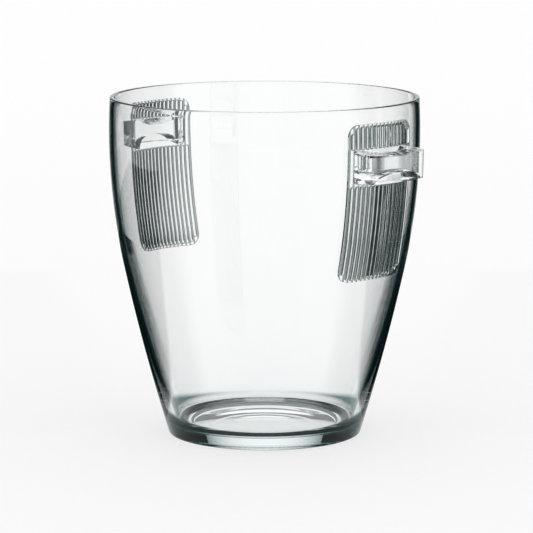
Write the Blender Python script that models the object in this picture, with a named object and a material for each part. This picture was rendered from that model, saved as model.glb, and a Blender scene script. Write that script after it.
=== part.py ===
# Clear champagne bucket: a heavy-based pressed vessel, two ribbed grip plates bonded to its wall,
# and a lug handle seated in each plate. Metres, +Z up, foot on Z = 0, handles facing +X and -X.
import math

import bmesh
import bpy
from mathutils import Vector

# Vessel, outside
HEIGHT = 0.230
WIDEST_RADIUS = 0.1052
SHOULDER_DROP = 0.0248  # widest ring, below the rim
UPPER_CURVE = 0.423  # radius of the wall's upright curve above the joint
CURVE_JOINT = 0.117  # height where the upper curve runs into the lower one
LOWER_CURVE = 1.42
FOOT_ROUND = 0.0010

# Vessel, inside
WALL = 0.0029
RIM_WALL = 0.0033
RIM_FLARE = 0.020  # length over which the wall thickens to the rim
RIM_ROUND = 0.0008
LOW_WALL_EXTRA = 0.0048  # added to the wall at the bottom, fading upwards
LOW_WALL_FADE = 0.150
FLOOR_THICKNESS = 0.0080
FLOOR_FILLET = 0.0115
RECESS_RADIUS = 0.0515
RECESS_DEPTH = 0.0012

# Grip plates
BOND_GAP = 0.0003
PLATE_WIDTH = 0.0610  # measured along the wall
PLATE_RIM_MARGIN = 0.0100  # plate top, below the rim
PLATE_LENGTH = 0.1045
PLATE_CORNER = 0.0085
PLATE_THICKNESS = 0.0012
PLATE_BORDER = 0.0011
RIB_COUNT = 16
RIB_HEIGHT = 0.0011
RIB_FILL = 0.94  # share of the pitch that a rib takes up
RIB_SINK = 0.0002  # how deep a rib's centre line lies in the plate
RIB_ROOT = 0.4  # share of the plate's thickness that a rib's root reaches into

# Lug handles
RIGHT_LUG_DROP = 0.0170  # lug top on the wall, below the plate's top
LEFT_LUG_DROP = 0.0105
LUG_HEIGHT = 0.0225
LUG_SIDE_MARGIN = 0.00475  # plate left showing beside each lug
LUG_WIDTH = PLATE_WIDTH - 2 * LUG_SIDE_MARGIN
LUG_REACH = 0.0178
LUG_POWER = 5.0  # fullness of the lug's plan: 2 is half an ellipse
LUG_FALL = 0.0020  # how far the lug's top drops from the wall to the front
LUG_FOOT_RISE = 0.0022  # how far its foot rises from the wall to the front
LUG_TOP_CORNER = 0.0020
LUG_FOOT_CORNER = 0.0045
LUG_EDGE_ROUND = 0.0009
HOLLOW_SIDE_WALL = 0.00575
HOLLOW_WIDTH = LUG_WIDTH - 2 * HOLLOW_SIDE_WALL
HOLLOW_HEIGHT = 0.0100
HOLLOW_FALL = 0.0016
HOLLOW_POWER = 2.4
SKIRT = 0.0030  # wall in front of the finger hollow
DISH_SIDE_MARGIN = 0.00775
DISH_WIDTH = LUG_WIDTH - 2 * DISH_SIDE_MARGIN
DISH_DEPTH = 0.0052
DISH_REACH = 0.0120  # where the dish in the lug's top runs out
LUG_CLEARANCE = 0.0003

# Fineness
TURN_STEPS = 56
WALL_STEPS = 10
CORNER_STEPS = 5
RIB_SIDES = 8
BEND_STEP = 0.0176
LUG_BEND_STEP = 0.0050

PLATE_TOP = HEIGHT - PLATE_RIM_MARGIN


# ---- wall shape

def outer_radius(z):
    """Outer radius of the wall at a height: two arcs that meet without a corner."""
    widest_z = HEIGHT - SHOULDER_DROP
    upper_centre = WIDEST_RADIUS - UPPER_CURVE
    if z >= CURVE_JOINT:
        return upper_centre + math.sqrt(UPPER_CURVE ** 2 - (z - widest_z) ** 2)
    joint_r = math.sqrt(UPPER_CURVE ** 2 - (CURVE_JOINT - widest_z) ** 2)
    stretch = LOWER_CURVE / UPPER_CURVE
    lower_centre_r = upper_centre + joint_r * (1 - stretch)
    lower_centre_z = CURVE_JOINT - (CURVE_JOINT - widest_z) * stretch
    return lower_centre_r + math.sqrt(LOWER_CURVE ** 2 - (z - lower_centre_z) ** 2)


def wall_at(z):
    """Wall thickness at a height: thin in the middle, thicker to the rim and towards the base."""
    low = max(0.0, 1 - z / LOW_WALL_FADE) ** 2 * LOW_WALL_EXTRA
    rim = max(0.0, 1 - (HEIGHT - z) / RIM_FLARE) ** 2 * (RIM_WALL - WALL)
    return WALL + low + rim


def inner_radius(z):
    return outer_radius(z) - wall_at(z)


def arc(centre, radius, start, end, steps):
    """Points on an arc in a plane, with the angles in degrees."""
    points = []
    for i in range(steps + 1):
        a = math.radians(start + (end - start) * i / steps)
        points.append((centre[0] + radius * math.cos(a), centre[1] + radius * math.sin(a)))
    return points


def spread(start, end, steps):
    return [start + (end - start) * i / steps for i in range(steps + 1)]


# ---- vessel

def outer_side():
    """Foot corner, outer wall and the rim's outer round, from the bottom up."""
    slope = math.degrees(math.atan2(outer_radius(0.01) - outer_radius(0.0), 0.01))
    corner_r = outer_radius(FOOT_ROUND) - FOOT_ROUND / math.cos(math.radians(slope))
    points = arc((corner_r, FOOT_ROUND), FOOT_ROUND, -90, -slope, CORNER_STEPS)
    lowest = points[-1][1] + 0.004
    points += [(outer_radius(z), z) for z in spread(lowest, HEIGHT - RIM_ROUND, WALL_STEPS)]
    rim_r = outer_radius(HEIGHT - RIM_ROUND) - RIM_ROUND
    points += arc((rim_r, HEIGHT - RIM_ROUND), RIM_ROUND, 0, 90, 3)[1:]
    return points


def inner_side():
    """The rim's inner round, inner wall and floor fillet, from the top down."""
    rim_z = HEIGHT - RIM_ROUND
    points = arc((inner_radius(rim_z) + RIM_ROUND, rim_z), RIM_ROUND, 90, 180, 3)
    lean = math.degrees(math.atan2(inner_radius(0.04) - inner_radius(0.02), 0.02))
    centre_z = FLOOR_THICKNESS + FLOOR_FILLET
    touch_z = centre_z - FLOOR_FILLET * math.sin(math.radians(lean))
    centre_r = inner_radius(touch_z) - FLOOR_FILLET * math.cos(math.radians(lean))
    points += [(inner_radius(z), z) for z in spread(rim_z, touch_z + 0.003, WALL_STEPS)[1:]]
    points += arc((centre_r, centre_z), FLOOR_FILLET, -lean, -90, CORNER_STEPS + 1)
    return points


def vessel_profile():
    """Half section of the vessel, from the underside's centre round to the floor's centre."""
    points = [(0.0, RECESS_DEPTH), (RECESS_RADIUS - RECESS_DEPTH * 2, RECESS_DEPTH)]
    points += [(RECESS_RADIUS, 0.0)]
    points += outer_side()
    points += inner_side()
    points += [(0.0, FLOOR_THICKNESS)]
    return points


def make_vessel():
    bm = bmesh.new()
    verts = [bm.verts.new((r, 0.0, z)) for r, z in vessel_profile()]
    edges = [bm.edges.new(pair) for pair in zip(verts, verts[1:])]
    bmesh.ops.spin(bm, geom=verts + edges, axis=(0, 0, 1), cent=(0, 0, 0), angle=math.tau,
                   steps=TURN_STEPS, use_merge=True)
    bmesh.ops.remove_doubles(bm, verts=bm.verts, dist=1e-6)
    bmesh.ops.recalc_face_normals(bm, faces=bm.faces)
    return finish_mesh("vessel", bm)


# ---- flat shapes, bent onto the wall afterwards: x runs along the wall, y out of it, z up

def rounded_outline(half_width, bottom, top, foot_corner, top_corner):
    """Rounded rectangle in x and z."""
    points = arc((half_width - foot_corner, bottom + foot_corner), foot_corner, -90, 0, CORNER_STEPS)
    points += arc((half_width - top_corner, top - top_corner), top_corner, 0, 90, CORNER_STEPS)
    points += arc((top_corner - half_width, top - top_corner), top_corner, 90, 180, CORNER_STEPS)
    points += arc((foot_corner - half_width, bottom + foot_corner), foot_corner, 180, 270, CORNER_STEPS)
    return points


def prism(outline, near, far):
    """Closed solid on an outline in x and z, from one y to another."""
    bm = bmesh.new()
    face = bm.faces.new([bm.verts.new((x, near, z)) for x, z in outline])
    out = bmesh.ops.extrude_face_region(bm, geom=[face])
    moved = [item for item in out["geom"] if isinstance(item, bmesh.types.BMVert)]
    bmesh.ops.translate(bm, verts=moved, vec=(0, far - near, 0))
    bmesh.ops.recalc_face_normals(bm, faces=bm.faces)
    return bm


def helper(name, bm):
    """A cutter or an addition: kept in the scene, but hidden and drawn as wire."""
    mesh = bpy.data.meshes.new(name)
    bm.to_mesh(mesh)
    bm.free()
    obj = bpy.data.objects.new(name, mesh)
    bpy.context.scene.collection.objects.link(obj)
    obj.hide_render = True
    obj.display_type = "WIRE"
    return obj


def combined(base, operations):
    """Mesh of a helper after Boolean operations with other helpers."""
    for other, operation in operations:
        modifier = base.modifiers.new(operation.title(), "BOOLEAN")
        modifier.object = other
        modifier.operation = operation
    graph = bpy.context.evaluated_depsgraph_get()
    mesh = bpy.data.meshes.new_from_object(base.evaluated_get(graph))
    bm = bmesh.new()
    bm.from_mesh(mesh)
    bpy.data.meshes.remove(mesh)
    for used in [base] + [other for other, _ in operations]:
        bpy.data.objects.remove(used)
    return bm


def sliced(bm, low, high, step, normal):
    """Extra edge rings at even steps, so that a flat shape can follow a curve."""
    bmesh.ops.triangulate(bm, faces=[face for face in bm.faces if len(face.verts) > 4])
    count = max(1, round((high - low) / step))
    for at in spread(low, high, count)[1:-1]:
        bmesh.ops.bisect_plane(bm, geom=bm.verts[:] + bm.edges[:] + bm.faces[:], dist=1e-6,
                               plane_co=Vector(normal) * at, plane_no=normal)


def bend_to_wall(bm):
    """Wraps a flat shape round the vessel on its +X side, a bond gap off the wall."""
    for vert in bm.verts:
        along, out, z = vert.co
        angle = -along / outer_radius(z)
        radius = outer_radius(z) + BOND_GAP + out
        vert.co = (radius * math.cos(angle), radius * math.sin(angle), z)


def edge_height(across):
    """How far the plate's rounded corner pulls its end in, at a distance from the middle."""
    into = abs(across) - (PLATE_WIDTH / 2 - PLATE_CORNER)
    if into <= 0:
        return 0.0
    return PLATE_CORNER - math.sqrt(PLATE_CORNER ** 2 - min(into, PLATE_CORNER * 0.98) ** 2)


# ---- grip plates

def add_rib(bm, across, low, high):
    """One half-round rib with rounded ends."""
    pitch = (PLATE_WIDTH - 2 * PLATE_BORDER) / RIB_COUNT
    half = pitch * RIB_FILL / 2
    made = bmesh.ops.create_uvsphere(bm, u_segments=RIB_SIDES, v_segments=4, radius=1)
    for vert in made["verts"]:
        middle = (low + high) / 2
        straight = (high - low) / 2 - half
        lift = straight if vert.co.z > 0.01 else -straight if vert.co.z < -0.01 else 0.0
        depth = RIB_HEIGHT + RIB_SINK if vert.co.y > 0 else PLATE_THICKNESS * RIB_ROOT
        vert.co = (across + vert.co.x * half,
                   PLATE_THICKNESS - RIB_SINK + vert.co.y * depth,
                   middle + lift + vert.co.z * half)


def make_ribs(lug_top):
    """All ribs of a plate. Those over the lug stop short of it, above and below."""
    bm = bmesh.new()
    pitch = (PLATE_WIDTH - 2 * PLATE_BORDER) / RIB_COUNT
    for i in range(RIB_COUNT):
        across = (i - (RIB_COUNT - 1) / 2) * pitch
        pull = edge_height(abs(across) + pitch / 2)
        low = PLATE_TOP - PLATE_LENGTH + pull + PLATE_BORDER
        high = PLATE_TOP - pull - PLATE_BORDER
        if abs(across) - pitch / 2 > LUG_WIDTH / 2:
            add_rib(bm, across, low, high)
            continue
        add_rib(bm, across, low, lug_top - LUG_HEIGHT - LUG_CLEARANCE * 2)
        add_rib(bm, across, lug_top + LUG_CLEARANCE * 2, high)
    return helper("ribs", bm)


def make_plate_mesh(lug_top):
    low = PLATE_TOP - PLATE_LENGTH
    plate = helper("plate", prism(
        rounded_outline(PLATE_WIDTH / 2, low, PLATE_TOP, PLATE_CORNER, PLATE_CORNER), 0, PLATE_THICKNESS))
    window = helper("window", prism(
        rounded_outline(LUG_WIDTH / 2 + LUG_CLEARANCE, lug_top - LUG_HEIGHT - LUG_CLEARANCE,
                        lug_top + LUG_CLEARANCE, LUG_FOOT_CORNER + LUG_CLEARANCE,
                        LUG_TOP_CORNER + LUG_CLEARANCE),
        -PLATE_THICKNESS, PLATE_THICKNESS + RIB_HEIGHT * 2))
    bm = combined(plate, [(make_ribs(lug_top), "UNION"), (window, "DIFFERENCE")])
    sliced(bm, low, PLATE_TOP, BEND_STEP, (0, 0, 1))
    half = PLATE_WIDTH / 2
    pitch = (PLATE_WIDTH - 2 * PLATE_BORDER) / RIB_COUNT
    sliced(bm, -half + PLATE_BORDER - pitch, half - PLATE_BORDER + pitch, pitch, (1, 0, 0))
    bend_to_wall(bm)
    return bm


# ---- lug handles

def plan_outline(half_width, reach, steps):
    """Plan of a lug: flat on the wall, full and round in front."""
    points = []
    for i in range(steps + 1):
        a = math.pi * i / steps
        x = abs(math.cos(a)) ** (2 / LUG_POWER) * half_width
        points.append((math.copysign(x, math.cos(a)), abs(math.sin(a)) ** (2 / LUG_POWER) * reach))
    points[-1] = (-half_width, 0.0)
    return points


def upright_prism(outline, low, high):
    """Closed solid on an outline in x and y, from one height to another."""
    bm = prism(outline, low, high)
    for vert in bm.verts:
        vert.co = (vert.co.x, vert.co.z, vert.co.y)
    bmesh.ops.recalc_face_normals(bm, faces=bm.faces)
    return bm


def arch_outline(width, height, power, tail):
    """An arch in x and z on z = 0, carried on downwards so that it cuts right through."""
    steps = 14
    points = []
    for i in range(steps + 1):
        across = math.cos(math.pi * i / steps)
        up = (1 - min(1.0, abs(across)) ** power) ** (1 / power)
        points.append((across * width / 2, up * height))
    return points + [(-width / 2, -tail), (width / 2, -tail)]


def make_hollow_cutter(lug_top):
    """The finger hollow: an arch from below that leaves the lug a skirt in front."""
    foot = lug_top - LUG_HEIGHT
    arch = prism(arch_outline(HOLLOW_WIDTH, HOLLOW_HEIGHT, HOLLOW_POWER, LUG_HEIGHT), -LUG_REACH,
                 LUG_REACH * 2)
    for vert in arch.verts:
        vert.co.z += foot - vert.co.y / LUG_REACH * HOLLOW_FALL
    plan = plan_outline(LUG_WIDTH / 2 - SKIRT, LUG_REACH - SKIRT, 22)
    plan = [(plan[0][0], -LUG_REACH)] + plan + [(plan[-1][0], -LUG_REACH)]
    column = upright_prism(plan, foot - LUG_HEIGHT / 2, lug_top)
    return helper("hollow", combined(helper("column", column), [(helper("arch", arch), "INTERSECT")]))


def make_dish_cutter(lug_top):
    """The dish in the lug's top: deepest at the wall, running out towards the front."""
    bm = prism(arch_outline(DISH_WIDTH, DISH_DEPTH, 2, LUG_HEIGHT), -LUG_REACH, LUG_REACH * 2)
    for vert in bm.verts:
        vert.co.z = lug_top - vert.co.z + vert.co.y / DISH_REACH * DISH_DEPTH
    bmesh.ops.recalc_face_normals(bm, faces=bm.faces)
    return helper("dish", bm)


def is_outer_edge(edge):
    """True for the edges round the lug's top and foot, away from the wall."""
    a, b = (vert.co for vert in edge.verts)
    return min(a.y, b.y) > 1e-5 and edge.calc_face_angle(0) > math.radians(50)


def make_lug_block(lug_top):
    """The lug before its hollow and dish: a little less tall in front than at the wall."""
    foot = lug_top - LUG_HEIGHT
    front = prism(rounded_outline(LUG_WIDTH / 2, foot, lug_top, LUG_FOOT_CORNER, LUG_TOP_CORNER),
                  0, LUG_REACH * 1.2)
    for vert in front.verts:
        share = vert.co.y / LUG_REACH
        up = (vert.co.z - foot) / LUG_HEIGHT
        vert.co.z += share * (LUG_FOOT_RISE * (1 - up) - LUG_FALL * up)
    plan = upright_prism(plan_outline(LUG_WIDTH / 2 + LUG_CLEARANCE, LUG_REACH, 26),
                         foot - LUG_HEIGHT, lug_top + LUG_HEIGHT)
    for vert in plan.verts:
        if vert.co.y < 1e-6:
            vert.co.y = -LUG_REACH
    bm = combined(helper("front", front), [(helper("plan", plan), "INTERSECT")])
    bmesh.ops.remove_doubles(bm, verts=bm.verts, dist=1e-5)
    bmesh.ops.dissolve_limit(bm, angle_limit=math.radians(0.5), verts=bm.verts, edges=bm.edges)
    rims = [edge for edge in bm.edges if is_outer_edge(edge)]
    bmesh.ops.bevel(bm, geom=rims, offset=LUG_EDGE_ROUND, segments=2, profile=0.5, affect="EDGES",
                    material=-1, clamp_overlap=True)
    bmesh.ops.recalc_face_normals(bm, faces=bm.faces)
    return helper("lug_block", bm)


def make_lug_mesh(lug_top):
    bm = combined(make_lug_block(lug_top),
                  [(make_hollow_cutter(lug_top), "DIFFERENCE"), (make_dish_cutter(lug_top), "DIFFERENCE")])
    bmesh.ops.remove_doubles(bm, verts=bm.verts, dist=1e-6)
    half = LUG_WIDTH / 2
    sliced(bm, -half, half, LUG_BEND_STEP, (1, 0, 0))
    sliced(bm, lug_top - LUG_HEIGHT, lug_top, LUG_BEND_STEP * 2, (0, 0, 1))
    bend_to_wall(bm)
    return bm


# ---- objects and materials

def clear_material(name, colour, roughness):
    material = bpy.data.materials.new(name)
    material.use_nodes = True
    shader = material.node_tree.nodes["Principled BSDF"]
    shader.inputs["Base Color"].default_value = (*colour, 1.0)
    shader.inputs["Roughness"].default_value = roughness
    shader.inputs["Metallic"].default_value = 0.0
    shader.inputs["IOR"].default_value = 1.5
    shader.inputs["Transmission Weight"].default_value = 1.0
    return material


def finish_mesh(name, bm):
    mesh = bpy.data.meshes.new(name)
    bmesh.ops.triangulate(bm, faces=[face for face in bm.faces if len(face.verts) > 4])
    bm.to_mesh(mesh)
    bm.free()
    mesh.shade_smooth()
    mesh.set_sharp_from_angle(angle=math.radians(30))
    return mesh


def place(name, mesh, material, turn):
    obj = bpy.data.objects.new(name, mesh)
    obj.rotation_euler = (0, 0, turn)
    bpy.context.scene.collection.objects.link(obj)
    if not mesh.materials:
        mesh.materials.append(material)
    return obj


def main():
    for obj in list(bpy.data.objects):
        bpy.data.objects.remove(obj)
    vessel_glass = clear_material("vessel_glass", (0.93, 0.96, 0.95), 0.02)
    plate_glass = clear_material("plate_glass", (0.90, 0.94, 0.93), 0.05)
    lug_glass = clear_material("lug_glass", (0.92, 0.95, 0.94), 0.02)
    place("vessel", make_vessel(), vessel_glass, 0)
    for side, turn, drop in (("right", 0, RIGHT_LUG_DROP), ("left", math.pi, LEFT_LUG_DROP)):
        lug_top = PLATE_TOP - drop
        plate = finish_mesh(f"grip_plate_{side}", make_plate_mesh(lug_top))
        lug = finish_mesh(f"lug_handle_{side}", make_lug_mesh(lug_top))
        place(f"grip_plate_{side}", plate, plate_glass, turn)
        place(f"lug_handle_{side}", lug, lug_glass, turn)


main()
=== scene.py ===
import math

import bmesh
import bpy
from mathutils import Matrix, Vector


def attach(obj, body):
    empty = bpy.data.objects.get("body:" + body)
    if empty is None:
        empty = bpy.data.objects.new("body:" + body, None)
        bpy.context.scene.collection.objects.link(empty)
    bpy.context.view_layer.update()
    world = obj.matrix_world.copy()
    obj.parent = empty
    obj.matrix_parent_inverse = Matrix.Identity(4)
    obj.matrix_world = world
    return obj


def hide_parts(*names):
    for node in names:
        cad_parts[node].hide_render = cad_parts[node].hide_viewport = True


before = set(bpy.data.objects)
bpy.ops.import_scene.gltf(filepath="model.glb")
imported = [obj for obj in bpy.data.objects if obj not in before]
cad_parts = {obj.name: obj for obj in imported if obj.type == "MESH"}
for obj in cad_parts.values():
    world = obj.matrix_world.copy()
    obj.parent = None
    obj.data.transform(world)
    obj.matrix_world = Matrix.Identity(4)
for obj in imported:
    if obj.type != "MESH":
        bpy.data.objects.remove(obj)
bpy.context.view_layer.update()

scene = bpy.context.scene
print("frame loaded:", ", ".join(sorted(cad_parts)))

# the curve that the vessel, the plates and the lugs all follow, in metres
wall = {
    "height": 0.230,
    "widestRadius": 0.1052,
    "shoulderDrop": 0.0248,  # widest ring, below the rim
    "upperCurve": 0.423,
    "curveJoint": 0.117,
    "lowerCurve": 1.42,
    "thickness": 0.0029,
    "rimThickness": 0.0033,
    "rimFlare": 0.020,
    "lowExtra": 0.0048,  # added at the bottom, fading upwards
    "lowFade": 0.150,
    "bondGap": 0.0003,
}


def wallRadius(z):
    widestZ = wall["height"] - wall["shoulderDrop"]
    curve, joint = wall["upperCurve"], wall["curveJoint"]
    upperCentre = wall["widestRadius"] - curve
    if z >= joint:
        return upperCentre + math.sqrt(curve ** 2 - (z - widestZ) ** 2)
    # below the joint a flatter arc carries on from the upper one without a corner
    stretch = wall["lowerCurve"] / curve
    jointR = math.sqrt(curve ** 2 - (joint - widestZ) ** 2)
    centreZ = joint - (joint - widestZ) * stretch
    reach = math.sqrt(wall["lowerCurve"] ** 2 - (z - centreZ) ** 2)
    return upperCentre + jointR * (1 - stretch) + reach


def wallThickness(z):
    low = max(0.0, 1 - z / wall["lowFade"]) ** 2 * wall["lowExtra"]
    extra = wall["rimThickness"] - wall["thickness"]
    rim = max(0.0, 1 - (wall["height"] - z) / wall["rimFlare"]) ** 2 * extra
    return wall["thickness"] + low + rim


def innerRadius(z):
    return wallRadius(z) - wallThickness(z)


def spreadValues(start, end, steps):
    return [start + (end - start) * i / steps for i in range(steps + 1)]


def arcPoints(centre, radius, start, end, steps):
    angles = [math.radians(a) for a in spreadValues(start, end, steps)]
    return [(centre[0] + radius * math.cos(a), centre[1] + radius * math.sin(a)) for a in angles]


# a mesh becomes an object, smooth up to the sharp angle when one is given
def meshObject(name, bm, sharpAngle=None):
    mesh = bpy.data.meshes.new(name)
    bm.to_mesh(mesh)
    bm.free()
    obj = bpy.data.objects.new(name, mesh)
    scene.collection.objects.link(obj)
    if sharpAngle:
        mesh.shade_smooth()
        mesh.set_sharp_from_angle(angle=math.radians(sharpAngle))
    return obj


# a closed solid from an outline: x runs along the wall, y out of it, z up
def prismFrom(outline, near, far, upright=False):
    bm = bmesh.new()
    face = bm.faces.new([bm.verts.new((x, near, z)) for x, z in outline])
    grown = bmesh.ops.extrude_face_region(bm, geom=[face])["geom"]
    moved = [item for item in grown if isinstance(item, bmesh.types.BMVert)]
    bmesh.ops.translate(bm, verts=moved, vec=(0, far - near, 0))
    if upright:  # the outline was a plan: y and z change places
        for vert in bm.verts:
            vert.co = vert.co.xzy
    bmesh.ops.recalc_face_normals(bm, faces=bm.faces)
    return bm


def combineSolids(base, others):
    made = meshObject("workSolid", base)
    used = [made]
    for bm, operation in others:
        tool = meshObject("workTool", bm)
        used.append(tool)
        step = made.modifiers.new(operation, "BOOLEAN")
        step.object = tool
        step.operation = operation
        step.solver = "EXACT"
    graph = bpy.context.evaluated_depsgraph_get()
    mesh = bpy.data.meshes.new_from_object(made.evaluated_get(graph))
    bm = bmesh.new()
    bm.from_mesh(mesh)
    bpy.data.meshes.remove(mesh)
    for obj in used:
        bpy.data.meshes.remove(obj.data)
    return bm


# cuts at even steps, so that a flat solid can follow a curve
def sliceSolid(bm, low, high, step, axis):
    bmesh.ops.triangulate(bm, faces=[face for face in bm.faces if len(face.verts) > 4])
    count = max(1, round((high - low) / step))
    for at in spreadValues(low, high, count)[1:-1]:
        bmesh.ops.bisect_plane(bm, geom=bm.verts[:] + bm.edges[:] + bm.faces[:], dist=1e-7,
                               plane_co=Vector(axis) * at, plane_no=axis)


def bendToWall(bm):
    for vert in bm.verts:
        along, out, z = vert.co
        angle = -along / wallRadius(z)
        radius = wallRadius(z) + wall["bondGap"] + out
        vert.co = (radius * math.cos(angle), radius * math.sin(angle), z)


def finishPiece(name, bm, node, turn, sharpAngle):
    bmesh.ops.rotate(bm, verts=bm.verts, cent=(0, 0, 0), matrix=Matrix.Rotation(turn, 3, "Z"))
    bmesh.ops.triangulate(bm, faces=[face for face in bm.faces if len(face.verts) > 4])
    obj = meshObject(name, bm, sharpAngle)
    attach(obj, "root")
    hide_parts(node)
    print(name, "made:", len(obj.data.polygons), "faces")
    return obj


# the vessel is one closed section, turned round the axis
vesselShape = {
    "footRound": 0.0010,
    "rimRound": 0.0008,
    "floorHeight": 0.0080,
    "floorFillet": 0.0115,
    "recessRadius": 0.0515,
    "recessDepth": 0.0012,
    "turnSteps": 288,
    "wallSteps": 60,
    "filletSteps": 20,
    "roundSteps": 8,
}


def vesselSection():
    s = vesselShape
    height, rimZ = wall["height"], wall["height"] - s["rimRound"]
    # underside and foot
    points = [(0.0, s["recessDepth"]), (s["recessRadius"] - s["recessDepth"] * 2, s["recessDepth"])]
    points += [(s["recessRadius"] - s["recessDepth"], s["recessDepth"] * 0.25)]
    points += [(s["recessRadius"], 0.0)]
    slope = math.degrees(math.atan2(wallRadius(0.01) - wallRadius(0.0), 0.01))
    footR = wallRadius(s["footRound"]) - s["footRound"] / math.cos(math.radians(slope))
    points += arcPoints((footR, s["footRound"]), s["footRound"], -90, -slope, s["roundSteps"])
    # outer wall and rim
    lowest = points[-1][1] + 0.001
    points += [(wallRadius(z), z) for z in spreadValues(lowest, rimZ, s["wallSteps"])]
    points += arcPoints((wallRadius(rimZ) - s["rimRound"], rimZ), s["rimRound"], 0, 90, s["roundSteps"])[1:]
    points += arcPoints((innerRadius(rimZ) + s["rimRound"], rimZ), s["rimRound"], 90, 180, s["roundSteps"])
    # inner wall, fillet and floor
    lean = math.atan2(innerRadius(0.04) - innerRadius(0.02), 0.02)
    centreZ = s["floorHeight"] + s["floorFillet"]
    touchZ = centreZ - s["floorFillet"] * math.sin(lean)
    centreR = innerRadius(touchZ) - s["floorFillet"] * math.cos(lean)
    points += [(innerRadius(z), z) for z in spreadValues(rimZ, touchZ + 0.001, s["wallSteps"])[1:]]
    points += arcPoints((centreR, centreZ), s["floorFillet"], -math.degrees(lean), -90, s["filletSteps"])
    points += [(centreR * share, s["floorHeight"]) for share in (0.66, 0.33, 0.0)]
    return points


def makeVessel():
    bm = bmesh.new()
    verts = [bm.verts.new((r, 0.0, z)) for r, z in vesselSection()]
    edges = [bm.edges.new(pair) for pair in zip(verts, verts[1:])]
    bmesh.ops.spin(bm, geom=verts + edges, axis=(0, 0, 1), cent=(0, 0, 0), angle=math.tau,
                   steps=vesselShape["turnSteps"], use_merge=True)
    bmesh.ops.remove_doubles(bm, verts=bm.verts, dist=1e-6)
    bmesh.ops.recalc_face_normals(bm, faces=bm.faces)
    return finishPiece("clearVessel", bm, "vessel", 0, 40)


# grip plates and lugs are modelled flat and then bent onto the wall
plateShape = {
    "width": 0.0610,
    "top": 0.2200,
    "length": 0.1045,
    "corner": 0.0085,
    "thickness": 0.0012,
    "border": 0.0011,
    "ribCount": 16,
    "ribHeight": 0.0011,
    "ribFill": 0.94,  # share of the pitch that a rib takes up
    "ribSink": 0.0002,
    "ribRoot": 0.4,
    "ribSides": 24,
    "ribRings": 10,
    "bendStep": 0.0035,
}

lugShape = {
    "dropRight": 0.0170,  # lug top on the wall, below the plate's top
    "dropLeft": 0.0105,
    "height": 0.0225,
    "width": 0.0515,
    "reach": 0.01775,
    "planPower": 5.0,  # fullness of the plan: 2 is half an ellipse
    "topFall": 0.0020,
    "footRise": 0.0022,
    "topCorner": 0.0020,
    "footCorner": 0.0045,
    "edgeRound": 0.0009,
    "hollowWidth": 0.0400,
    "hollowHeight": 0.0100,
    "hollowFall": 0.0016,
    "hollowPower": 2.4,
    "skirt": 0.0030,
    "dishWidth": 0.0360,
    "dishDepth": 0.0052,
    "dishReach": 0.0120,
    "innerRound": 0.00035,
    "clearance": 0.0003,
    "bendStep": 0.0018,
}


def roundedOutline(half, bottom, top, footCorner, topCorner, steps=12):
    points = arcPoints((half - footCorner, bottom + footCorner), footCorner, -90, 0, steps)
    points += arcPoints((half - topCorner, top - topCorner), topCorner, 0, 90, steps)
    points += arcPoints((topCorner - half, top - topCorner), topCorner, 90, 180, steps)
    points += arcPoints((footCorner - half, bottom + footCorner), footCorner, 180, 270, steps)
    return points


def addRib(bm, across, low, high):
    p = plateShape
    half = ribPitch() * p["ribFill"] / 2
    made = bmesh.ops.create_uvsphere(bm, u_segments=p["ribSides"], v_segments=p["ribRings"], radius=1)
    straight = (high - low) / 2 - half
    for vert in made["verts"]:
        x, y, z = vert.co
        lift = math.copysign(straight, z) if abs(z) > 0.01 else 0.0
        depth = p["ribHeight"] + p["ribSink"] if y > 0 else p["thickness"] * p["ribRoot"]
        vert.co = (across + x * half, p["thickness"] - p["ribSink"] + y * depth,
                   (low + high) / 2 + lift + z * half)


def ribPitch():
    return (plateShape["width"] - 2 * plateShape["border"]) / plateShape["ribCount"]


# ribs over the lug stop short of it, above and below
def makeRibs(lugTop):
    p, g = plateShape, lugShape
    bm = bmesh.new()
    pitch = ribPitch()
    for i in range(p["ribCount"]):
        across = (i - (p["ribCount"] - 1) / 2) * pitch
        into = max(0.0, abs(across) + pitch / 2 - (p["width"] / 2 - p["corner"]))
        pull = p["corner"] - math.sqrt(p["corner"] ** 2 - min(into, p["corner"] * 0.98) ** 2)
        low = p["top"] - p["length"] + pull + p["border"]
        high = p["top"] - pull - p["border"]
        if abs(across) - pitch / 2 > g["width"] / 2:
            addRib(bm, across, low, high)
            continue
        addRib(bm, across, low, lugTop - g["height"] - g["clearance"] * 2)
        addRib(bm, across, lugTop + g["clearance"] * 2, high)
    return bm


def makePlate(side, turn, lugTop):
    p, g = plateShape, lugShape
    low, half = p["top"] - p["length"], p["width"] / 2
    plate = prismFrom(roundedOutline(half, low, p["top"], p["corner"], p["corner"]), 0, p["thickness"])
    window = roundedOutline(g["width"] / 2 + g["clearance"], lugTop - g["height"] - g["clearance"],
                            lugTop + g["clearance"], g["footCorner"] + g["clearance"],
                            g["topCorner"] + g["clearance"])
    cutter = prismFrom(window, -p["thickness"], p["thickness"] + p["ribHeight"] * 2)
    bm = combineSolids(plate, [(makeRibs(lugTop), "UNION"), (cutter, "DIFFERENCE")])
    sliceSolid(bm, low, p["top"], p["bendStep"], (0, 0, 1))
    sliceSolid(bm, -half, half, ribPitch(), (1, 0, 0))
    bendToWall(bm)
    name = "ribbedPlate" + side.title()
    return finishPiece(name, bm, "grip_plate_" + side, turn, 32)


def planOutline(half, reach, steps):
    power = 2 / lugShape["planPower"]
    points = []
    for a in spreadValues(0, math.pi, steps):
        x = math.copysign(abs(math.cos(a)) ** power * half, math.cos(a))
        points.append((x, abs(math.sin(a)) ** power * reach))
    points[-1] = (-half, 0.0)
    return points


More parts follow.
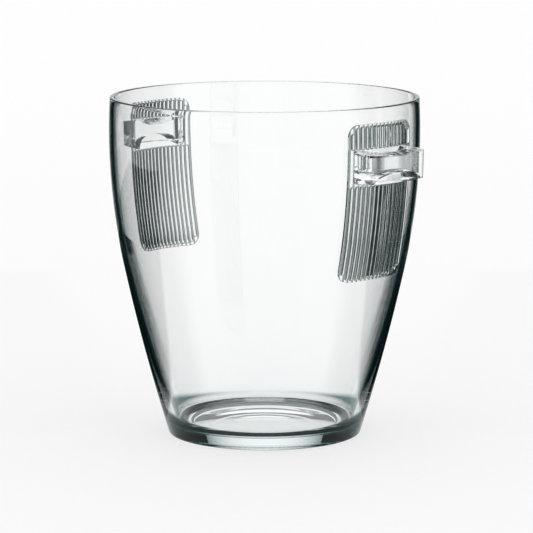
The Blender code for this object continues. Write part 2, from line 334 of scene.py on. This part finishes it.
def archOutline(width, height, power, tail, steps=40):
    points = []
    for a in spreadValues(0, math.pi, steps):
        across = math.cos(a)
        up = (1 - min(1.0, abs(across)) ** power) ** (1 / power)
        points.append((across * width / 2, up * height))
    return points + [(-width / 2, -tail), (width / 2, -tail)]


# the finger hollow: an arch from below that leaves a skirt in front
def hollowSolid(foot, lugTop):
    g = lugShape
    arch = prismFrom(archOutline(g["hollowWidth"], g["hollowHeight"], g["hollowPower"], g["height"]),
                     -g["reach"], g["reach"] * 2)
    for vert in arch.verts:
        vert.co.z += foot - vert.co.y / g["reach"] * g["hollowFall"]
    plan = planOutline(g["width"] / 2 - g["skirt"], g["reach"] - g["skirt"], 60)
    plan = [(plan[0][0], -g["reach"])] + plan + [(plan[-1][0], -g["reach"])]
    column = prismFrom(plan, foot - g["height"] / 2, lugTop, upright=True)
    return combineSolids(column, [(arch, "INTERSECT")])


# the dish in the top: deepest at the wall, running out towards the front
def dishSolid(lugTop):
    g = lugShape
    bm = prismFrom(archOutline(g["dishWidth"], g["dishDepth"], 2, g["height"]), -g["reach"], g["reach"] * 2)
    for vert in bm.verts:
        vert.co.z = lugTop - vert.co.z + vert.co.y / g["dishReach"] * g["dishDepth"]
    bmesh.ops.recalc_face_normals(bm, faces=bm.faces)
    return bm


def edgesOver(bm, degrees):
    return [e for e in bm.edges
            if min(e.verts[0].co.y, e.verts[1].co.y) > 1e-5 and e.calc_face_angle(0) > math.radians(degrees)]


def makeLug(side, turn, lugTop):
    g = lugShape
    foot = lugTop - g["height"]
    front = prismFrom(roundedOutline(g["width"] / 2, foot, lugTop, g["footCorner"], g["topCorner"]),
                      0, g["reach"] * 1.2)
    for vert in front.verts:
        share, up = vert.co.y / g["reach"], (vert.co.z - foot) / g["height"]
        vert.co.z += share * (g["footRise"] * (1 - up) - g["topFall"] * up)
    plan = prismFrom(planOutline(g["width"] / 2 + g["clearance"], g["reach"], 72),
                     foot - g["height"], lugTop + g["height"], upright=True)
    for vert in plan.verts:
        if vert.co.y < 1e-6:
            vert.co.y = -g["reach"]
    bm = combineSolids(front, [(plan, "INTERSECT")])
    bmesh.ops.remove_doubles(bm, verts=bm.verts, dist=1e-5)
    bmesh.ops.dissolve_limit(bm, angle_limit=math.radians(0.2), verts=bm.verts, edges=bm.edges)
    bmesh.ops.bevel(bm, geom=edgesOver(bm, 50), offset=g["edgeRound"], segments=4, profile=0.5,
                    affect="EDGES", material=-1, clamp_overlap=True)
    bmesh.ops.recalc_face_normals(bm, faces=bm.faces)
    bm = combineSolids(bm, [(hollowSolid(foot, lugTop), "DIFFERENCE"), (dishSolid(lugTop), "DIFFERENCE")])
    bmesh.ops.remove_doubles(bm, verts=bm.verts, dist=2e-5)
    bmesh.ops.dissolve_limit(bm, angle_limit=math.radians(0.5), verts=bm.verts, edges=bm.edges)
    bmesh.ops.bevel(bm, geom=edgesOver(bm, 38), offset=g["innerRound"], segments=2, profile=0.5,
                    affect="EDGES", material=-1, clamp_overlap=True)
    sliceSolid(bm, -g["width"] / 2, g["width"] / 2, g["bendStep"], (1, 0, 0))
    sliceSolid(bm, foot, lugTop, g["bendStep"] * 2, (0, 0, 1))
    bendToWall(bm)
    return finishPiece("gripLug" + side.title(), bm, "lug_handle_" + side, turn, 32)


vessel = makeVessel()
plates, lugs = [], []
for side, turn, drop in (("right", 0, lugShape["dropRight"]), ("left", math.pi, lugShape["dropLeft"])):
    lugTop = plateShape["top"] - drop
    plates.append(makePlate(side, turn, lugTop))
    lugs.append(makeLug(side, turn, lugTop))


# painted shade: the glass colour darkens towards the edge shade between edgeFrom and edgeTo, from face-on
# at 0 to grazing at 1, fading out on faces flatter than flatFrom; lowLift brings it on sooner at the foot
glassLook = {
    "vessel": {"tint": (0.998, 1.0, 1.0), "deepTint": (0.985, 0.997, 0.994), "rough": (0.0, 0.012),
               "wave": 0.030, "waveSize": 16.0, "absorb": (0.50, 0.82, 0.82), "density": 1.6,
               "paintedEdgeShade": (0.014, 0.060, 0.064), "edgeFrom": 0.70, "edgeTo": 0.97, "lowLift": 0.62,
               "flatFrom": 0.55},
    "plate": {"tint": (0.985, 0.995, 0.992), "deepTint": (0.97, 0.985, 0.98), "rough": (0.0, 0.02),
              "wave": 0.04, "waveSize": 60.0, "absorb": (0.50, 0.82, 0.82), "density": 1.6,
              "paintedEdgeShade": (0.008, 0.042, 0.046), "edgeFrom": 0.36, "edgeTo": 0.66, "lowLift": 0.0,
              "flatFrom": 2.0, "grooveShade": (0.009, 0.050, 0.054), "grooveWidth": (0.17, 0.05),
              "grooveShadeStrength": 0.85},
    "lug": {"tint": (0.995, 1.0, 0.999), "deepTint": (0.985, 0.995, 0.993), "rough": (0.0, 0.012),
            "wave": 0.03, "waveSize": 45.0, "absorb": (0.50, 0.82, 0.82), "density": 1.0,
            "paintedEdgeShade": (0.010, 0.038, 0.042), "edgeFrom": 0.60, "edgeTo": 0.84, "lowLift": 0.0,
            "flatFrom": 0.8},
}


def newGroup(name, inputs, outputs):
    group = bpy.data.node_groups.new(name, "ShaderNodeTree")
    for label, kind, value in inputs:
        socket = group.interface.new_socket(name=label, in_out="INPUT", socket_type=kind)
        socket.default_value = value
    for label, kind in outputs:
        group.interface.new_socket(name=label, in_out="OUTPUT", socket_type=kind)
    return group, group.nodes.new("NodeGroupInput"), group.nodes.new("NodeGroupOutput")


def addNode(tree, kind, **values):
    node = tree.nodes.new(kind)
    for key, value in values.items():
        if hasattr(node, key) and key not in node.inputs:
            setattr(node, key, value)
        else:
            node.inputs[key].default_value = value
    return node


def buildFlowGroup():
    # slow swells left by pressing and cooling, taller than they are wide
    group, inside, outside = newGroup(
        "glassFlow", [("Vector", "NodeSocketVector", (0, 0, 0)), ("Size", "NodeSocketFloat", 20.0)],
        [("Height", "NodeSocketFloat")])
    squash = addNode(group, "ShaderNodeMapping")
    squash.inputs["Scale"].default_value = (1.0, 1.0, 0.45)
    slow = addNode(group, "ShaderNodeTexNoise", Detail=1.0, Roughness=0.4)
    quick = addNode(group, "ShaderNodeTexNoise", Detail=2.0, Roughness=0.5)
    faster = addNode(group, "ShaderNodeMath", operation="MULTIPLY")
    faster.inputs[1].default_value = 3.7
    small = addNode(group, "ShaderNodeMath", operation="MULTIPLY")
    small.inputs[1].default_value = 0.22
    both = addNode(group, "ShaderNodeMath", operation="ADD")
    link = group.links.new
    link(inside.outputs["Vector"], squash.inputs["Vector"])
    link(squash.outputs[0], slow.inputs["Vector"])
    link(squash.outputs[0], quick.inputs["Vector"])
    link(inside.outputs["Size"], slow.inputs["Scale"])
    link(inside.outputs["Size"], faster.inputs[0])
    link(faster.outputs[0], quick.inputs["Scale"])
    link(quick.outputs["Fac"], small.inputs[0])
    link(slow.outputs["Fac"], both.inputs[0])
    link(small.outputs[0], both.inputs[1])
    link(both.outputs[0], outside.inputs["Height"])
    return group


def buildPolishGroup():
    # mostly bright polish, with soft patches where hands and cloths have dulled it
    group, inside, outside = newGroup(
        "glassPolish", [("Vector", "NodeSocketVector", (0, 0, 0)), ("Clean", "NodeSocketFloat", 0.0),
                        ("Dull", "NodeSocketFloat", 0.03)], [("Roughness", "NodeSocketFloat")])
    patches = addNode(group, "ShaderNodeTexNoise", Scale=38.0, Detail=4.0, Roughness=0.55)
    mask = addNode(group, "ShaderNodeMapRange")
    mask.inputs["From Min"].default_value = 0.52
    mask.inputs["From Max"].default_value = 0.78
    link = group.links.new
    link(inside.outputs["Vector"], patches.inputs["Vector"])
    link(patches.outputs["Fac"], mask.inputs["Value"])
    link(inside.outputs["Clean"], mask.inputs["To Min"])
    link(inside.outputs["Dull"], mask.inputs["To Max"])
    link(mask.outputs["Result"], outside.inputs["Roughness"])
    return group


def buildTintGroup():
    # the batch colour, a little deeper low down and in faint clouds
    group, inside, outside = newGroup(
        "glassTint", [("Vector", "NodeSocketVector", (0, 0, 0)), ("Clear", "NodeSocketColor", (1, 1, 1, 1)),
                      ("Deep", "NodeSocketColor", (1, 1, 1, 1))],
        [("Color", "NodeSocketColor"), ("Low", "NodeSocketFloat")])
    parts = addNode(group, "ShaderNodeSeparateXYZ")
    low = addNode(group, "ShaderNodeMapRange")
    low.inputs["From Min"].default_value = 0.050
    low.inputs["From Max"].default_value = 0.0
    clouds = addNode(group, "ShaderNodeTexNoise", Scale=9.0, Detail=2.0)
    faint = addNode(group, "ShaderNodeMath", operation="MULTIPLY_ADD", use_clamp=True)
    faint.inputs[1].default_value = 0.35
    blend = addNode(group, "ShaderNodeMix", data_type="RGBA")
    link = group.links.new
    link(inside.outputs["Vector"], parts.inputs[0])
    link(inside.outputs["Vector"], clouds.inputs["Vector"])
    link(parts.outputs["Z"], low.inputs["Value"])
    link(clouds.outputs["Fac"], faint.inputs[0])
    link(low.outputs["Result"], faint.inputs[2])
    link(faint.outputs[0], blend.inputs["Factor"])
    link(inside.outputs["Clear"], blend.inputs[6])
    link(inside.outputs["Deep"], blend.inputs[7])
    link(blend.outputs[2], outside.inputs["Color"])
    # Low marks the foot, where the painted edge shade comes on sooner
    foot = addNode(group, "ShaderNodeMapRange")
    foot.inputs["From Min"].default_value = 0.022
    foot.inputs["From Max"].default_value = 0.012
    link(parts.outputs["Z"], foot.inputs["Value"])
    link(foot.outputs["Result"], outside.inputs["Low"])
    return group


flowGroup, polishGroup, tintGroup = buildFlowGroup(), buildPolishGroup(), buildTintGroup()


def placeGroup(tree, group, values):
    node = tree.nodes.new("ShaderNodeGroup")
    node.node_tree = group
    for label, value in values.items():
        node.inputs[label].default_value = value
    return node


flatFade = 0.3  # how gradually the painted edge shade leaves flat faces


def glassMaterial(name, look):
    material = bpy.data.materials.new(name)
    material.use_nodes = True
    tree = material.node_tree
    shader = tree.nodes["Principled BSDF"]
    shader.inputs["Metallic"].default_value = 0.0
    shader.inputs["IOR"].default_value = 1.5
    shader.inputs["Transmission Weight"].default_value = 1.0
    place = tree.nodes.new("ShaderNodeTexCoord")
    tint = placeGroup(tree, tintGroup, {"Clear": (*look["tint"], 1), "Deep": (*look["deepTint"], 1)})
    polish = placeGroup(tree, polishGroup, {"Clean": look["rough"][0], "Dull": look["rough"][1]})
    flow = placeGroup(tree, flowGroup, {"Size": look["waveSize"]})
    bump = addNode(tree, "ShaderNodeBump", Strength=look["wave"], Distance=0.002)
    absorb = addNode(tree, "ShaderNodeVolumeAbsorption", Color=(*look["absorb"], 1), Density=look["density"])
    link = tree.links.new
    for group in (tint, polish, flow):
        link(place.outputs["Object"], group.inputs["Vector"])
    # painted shade: the base colour turns towards the dark edge shade where the surface turns away from the
    # view
    edge = addNode(tree, "ShaderNodeLayerWeight", Blend=0.5)
    lift = addNode(tree, "ShaderNodeMath", operation="MULTIPLY_ADD")
    lift.inputs[1].default_value = look["lowLift"]
    edgeShadeMask = addNode(tree, "ShaderNodeMapRange", interpolation_type="SMOOTHSTEP")
    edgeShadeMask.inputs["From Min"].default_value = look["edgeFrom"]
    edgeShadeMask.inputs["From Max"].default_value = look["edgeTo"]
    blend = addNode(tree, "ShaderNodeMix", data_type="RGBA")
    blend.inputs[7].default_value = (*look["paintedEdgeShade"], 1)
    link(tint.outputs["Low"], lift.inputs[0])
    link(edge.outputs["Facing"], lift.inputs[2])
    link(lift.outputs[0], edgeShadeMask.inputs["Value"])
    facing = tree.nodes.new("ShaderNodeNewGeometry")
    level = tree.nodes.new("ShaderNodeSeparateXYZ")
    upright = addNode(tree, "ShaderNodeMapRange", interpolation_type="SMOOTHSTEP")
    upright.inputs["From Min"].default_value = look["flatFrom"] + flatFade
    upright.inputs["From Max"].default_value = look["flatFrom"]
    steep = addNode(tree, "ShaderNodeMath", operation="ABSOLUTE")
    only = addNode(tree, "ShaderNodeMath", operation="MULTIPLY")
    link(facing.outputs["Normal"], level.inputs[0])
    link(level.outputs["Z"], steep.inputs[0])
    link(steep.outputs[0], upright.inputs["Value"])
    link(edgeShadeMask.outputs["Result"], only.inputs[0])
    link(upright.outputs["Result"], only.inputs[1])
    link(only.outputs[0], blend.inputs["Factor"])
    link(tint.outputs["Color"], blend.inputs[6])
    link(blend.outputs[2], shader.inputs["Base Color"])
    link(polish.outputs["Roughness"], shader.inputs["Roughness"])
    link(flow.outputs["Height"], bump.inputs["Height"])
    link(bump.outputs["Normal"], shader.inputs["Normal"])
    link(absorb.outputs[0], tree.nodes["Material Output"].inputs["Volume"])
    if "grooveShade" in look:
        shadeGrooves(tree, look)
    return material


# painted shade: the colour darkens in the grooves between the pressed ribs and stays light on their crests
def shadeGrooves(tree, look):
    shader = tree.nodes["Principled BSDF"]
    before = shader.inputs["Base Color"].links[0].from_socket
    place = tree.nodes.new("ShaderNodeTexCoord")
    parts = tree.nodes.new("ShaderNodeSeparateXYZ")
    side = addNode(tree, "ShaderNodeMath", operation="ABSOLUTE")
    angle = addNode(tree, "ShaderNodeMath", operation="ARCTAN2")
    across = addNode(tree, "ShaderNodeMath", operation="POWER")
    along = addNode(tree, "ShaderNodeMath", operation="POWER")
    total = addNode(tree, "ShaderNodeMath", operation="ADD")
    radius = addNode(tree, "ShaderNodeMath", operation="SQRT")
    across.inputs[1].default_value = along.inputs[1].default_value = 2.0
    wallLine = addNode(tree, "ShaderNodeMath", operation="SUBTRACT")
    wallLine.inputs[1].default_value = plateShape["thickness"] + wall["bondGap"]
    arc = addNode(tree, "ShaderNodeMath", operation="MULTIPLY")
    fold = addNode(tree, "ShaderNodeMath", operation="PINGPONG")
    fold.inputs[1].default_value = ribPitch() / 2
    groove = addNode(tree, "ShaderNodeMapRange", interpolation_type="SMOOTHSTEP")
    groove.inputs["From Min"].default_value = ribPitch() * look["grooveWidth"][0]
    groove.inputs["From Max"].default_value = ribPitch() * look["grooveWidth"][1]
    groove.inputs["To Max"].default_value = look["grooveShadeStrength"]
    blend = addNode(tree, "ShaderNodeMix", data_type="RGBA")
    blend.inputs[7].default_value = (*look["grooveShade"], 1)
    link = tree.links.new
    link(place.outputs["Object"], parts.inputs[0])
    link(parts.outputs["X"], side.inputs[0])
    link(parts.outputs["Y"], angle.inputs[0])
    link(side.outputs[0], angle.inputs[1])
    link(parts.outputs["X"], across.inputs[0])
    link(parts.outputs["Y"], along.inputs[0])
    link(across.outputs[0], total.inputs[0])
    link(along.outputs[0], total.inputs[1])
    link(total.outputs[0], radius.inputs[0])
    link(radius.outputs[0], wallLine.inputs[0])
    link(angle.outputs[0], arc.inputs[0])
    link(wallLine.outputs[0], arc.inputs[1])
    link(arc.outputs[0], fold.inputs[0])
    link(fold.outputs[0], groove.inputs["Value"])
    link(groove.outputs["Result"], blend.inputs["Factor"])
    link(before, blend.inputs[6])
    link(blend.outputs[2], shader.inputs["Base Color"])


vesselGlass = glassMaterial("pressedClearGlass", glassLook["vessel"])
plateGlass = glassMaterial("ribbedClearGlass", glassLook["plate"])
lugGlass = glassMaterial("solidLugGlass", glassLook["lug"])
vessel.data.materials.append(vesselGlass)
for piece in plates:
    piece.data.materials.append(plateGlass)
for piece in lugs:
    piece.data.materials.append(lugGlass)
print("glass materials placed")


# floor, light field and camera
stageSet = {
    "floorSize": 30.0,
    "floorGap": 0.0002,  # the floor lies this far under the foot
    "floorMottle": 0.006,
    "floorShade": 0.22,
    "floorGlow": 0.735,
    "fieldShade": 1.05,
    "printGamma": 0.76,
    "azimuth": -47.2,
    "distance": 1.9486,
    "cameraHeight": 0.4305,
    "pitch": 9.245,
    "lens": 195.84,
    "shift": 0.00355,
}


def makeCamera():
    s = stageSet
    camera = bpy.data.objects.new("camera", bpy.data.cameras.new("camera"))
    scene.collection.objects.link(camera)
    a = math.radians(s["azimuth"])
    camera.location = (s["distance"] * math.cos(a), s["distance"] * math.sin(a), s["cameraHeight"])
    camera.rotation_euler = (math.radians(90 - s["pitch"]), 0, a + math.pi / 2)
    camera.data.sensor_width = 36
    camera.data.lens = s["lens"]
    camera.data.shift_x = s["shift"]
    scene.camera = camera
    return camera


def makeFloor():
    bm = bmesh.new()
    bmesh.ops.create_grid(bm, x_segments=4, y_segments=4, size=stageSet["floorSize"] / 2)
    bmesh.ops.translate(bm, verts=bm.verts, vec=(0, 0, -stageSet["floorGap"]))
    floor = meshObject("studioFloor", bm)
    material = bpy.data.materials.new("palePaper")
    material.use_nodes = True
    tree = material.node_tree
    shader = tree.nodes["Principled BSDF"]
    shader.inputs["Roughness"].default_value = 0.9
    shader.inputs["Specular IOR Level"].default_value = 0.1
    shader.inputs["Emission Color"].default_value = (1, 1, 1, 1)  # the table glows softly from below
    shader.inputs["Emission Strength"].default_value = stageSet["floorGlow"]
    place = tree.nodes.new("ShaderNodeTexCoord")
    fibre = addNode(tree, "ShaderNodeTexNoise", Scale=120.0, Detail=3.0)
    shade = addNode(tree, "ShaderNodeMapRange")
    shade.inputs["To Min"].default_value = stageSet["floorShade"] - stageSet["floorMottle"]
    shade.inputs["To Max"].default_value = stageSet["floorShade"] + stageSet["floorMottle"]
    tree.links.new(place.outputs["Object"], fibre.inputs["Vector"])
    tree.links.new(fibre.outputs["Fac"], shade.inputs["Value"])
    tree.links.new(shade.outputs["Result"], shader.inputs["Base Color"])
    floor.data.materials.append(material)


# dark cards stand around the back of the bucket and travel with the camera: they shape what the glass
# mirrors and bends and are never seen themselves. Each start is across, behind and above the middle of
# the foot. Along a standing card, or across a flat one, it is clear at fade's first distance, dark from
# its second to its third and clear again from its fourth.
farOff = 9.0  # past the end of every card
cards = {
    "wing": {"start": (0.150, 0.0, -0.05), "heading": 83.0, "length": 1.10, "width": 1.2,
             "flat": False, "fade": (0.0, 0.07, 0.20, 0.62)},
    "mat": {"start": (0.070, 0.005, 0.004), "heading": 81.0, "length": 0.70, "width": 1.0,
            "flat": True, "fade": (0.0, 0.03, farOff, farOff + 1)},
    "flank": {"start": (0.45, 0.04, -0.05), "heading": 90.0, "length": 1.00, "width": 1.3,
              "flat": False, "fade": (0.0, 0.2, farOff, farOff + 1), "mirrored": False},
    "hood": {"start": (-0.6, 0.15, 0.55), "heading": 90.0, "length": 1.0, "width": 1.2,
             "flat": True, "fade": (0.0, 0.1, 1.1, 1.2)},
}
cardDark = (0.006, 0.024, 0.026)
footRing = {"inner": 0.0535, "outer": 0.0655, "height": -0.0001, "turnSteps": 96,
            "shade": (0.016, 0.050, 0.053)}


def cardMaterial(name, card):
    material = bpy.data.materials.new(name)
    material.use_nodes = True
    tree = material.node_tree
    tree.nodes.clear()
    place = tree.nodes.new("ShaderNodeTexCoord")
    parts = tree.nodes.new("ShaderNodeSeparateXYZ")
    axis = "Y" if card["flat"] else "X"
    starts, full, leaves, gone = card["fade"]
    rise = addNode(tree, "ShaderNodeMapRange")
    rise.inputs["From Min"].default_value = full
    rise.inputs["From Max"].default_value = starts
    fall = addNode(tree, "ShaderNodeMapRange")
    fall.inputs["From Min"].default_value = leaves
    fall.inputs["From Max"].default_value = gone
    fade = addNode(tree, "ShaderNodeMath", operation="MAXIMUM")
    glow = tree.nodes.new("ShaderNodeEmission")
    glow.inputs["Color"].default_value = (*card.get("shade", cardDark), 1)
    clear = tree.nodes.new("ShaderNodeBsdfTransparent")
    blend = tree.nodes.new("ShaderNodeMixShader")
    out = tree.nodes.new("ShaderNodeOutputMaterial")
    link = tree.links.new
    away = addNode(tree, "ShaderNodeMath", operation="ABSOLUTE")
    link(place.outputs["Object"], parts.inputs[0])
    link(parts.outputs[axis], away.inputs[0])
    link(away.outputs[0], rise.inputs["Value"])
    link(away.outputs[0], fall.inputs["Value"])
    link(rise.outputs["Result"], fade.inputs[0])
    link(fall.outputs["Result"], fade.inputs[1])
    link(fade.outputs[0], blend.inputs[0])
    link(glow.outputs[0], blend.inputs[1])
    link(clear.outputs[0], blend.inputs[2])
    link(blend.outputs[0], out.inputs["Surface"])
    return material


def hangCard(name, card, side):
    bm = bmesh.new()
    length, width = card["length"], card["width"]
    if card["flat"]:
        corners = [(0, 0, 0), (length, 0, 0), (length, -width * side, 0), (0, -width * side, 0)]
    else:
        corners = [(0, 0, 0), (length, 0, 0), (length, 0, width), (0, 0, width)]
    bm.faces.new([bm.verts.new(c) for c in corners])
    obj = meshObject(name, bm)
    across, behind, height = card["start"]
    turn = math.radians(card["heading"])
    heading = Matrix.Rotation(turn if side > 0 else math.pi - turn, 4, "Z")
    stand = Matrix.Rotation(math.radians(stageSet["azimuth"] + 90), 4, "Z")
    place = stand @ Matrix.Translation((across * side, behind, height)) @ heading
    obj.parent = camera
    obj.matrix_basis = camera.matrix_basis.inverted() @ place
    obj.visible_camera = False
    obj.visible_diffuse = False
    obj.visible_shadow = False
    obj.visible_glossy = card.get("mirrored", True)
    obj.data.materials.append(cardMaterial(name, card))


# painted shade: a dark ring lies under the foot, seen only in the glass, so that the thick corner of the
# base reads dark
def layRing():
    bm = bmesh.new()
    ends = [bm.verts.new((footRing[edge], 0, footRing["height"])) for edge in ("inner", "outer")]
    bmesh.ops.spin(bm, geom=ends + [bm.edges.new(ends)], axis=(0, 0, 1), cent=(0, 0, 0), angle=math.tau,
                   steps=footRing["turnSteps"], use_merge=True)
    ring = meshObject("footRing", bm)
    ring.visible_camera = ring.visible_diffuse = ring.visible_shadow = False
    look = {"flat": False, "fade": (0.0, stageSet["floorGap"], farOff, farOff + 1),
            "shade": footRing["shade"]}
    ring.data.materials.append(cardMaterial("footRing", look))


def makeLight():
    world = bpy.data.worlds.new("softRoom")
    scene.world = world
    world.use_nodes = True
    world.node_tree.nodes["Background"].inputs["Color"].default_value = (1, 1, 1, 1)
    world.node_tree.nodes["Background"].inputs["Strength"].default_value = stageSet["fieldShade"]
    for name, card in cards.items():
        hangCard(name + "Right", card, 1)
        if name != "hood":
            hangCard(name + "Left", card, -1)
    layRing()


camera = makeCamera()
makeFloor()
makeLight()
scene.view_settings.view_transform = "Standard"
scene.view_settings.gamma = stageSet["printGamma"]
scene.cycles.max_bounces = 32
scene.cycles.transmission_bounces = 32
scene.cycles.glossy_bounces = 16
print("stage set")
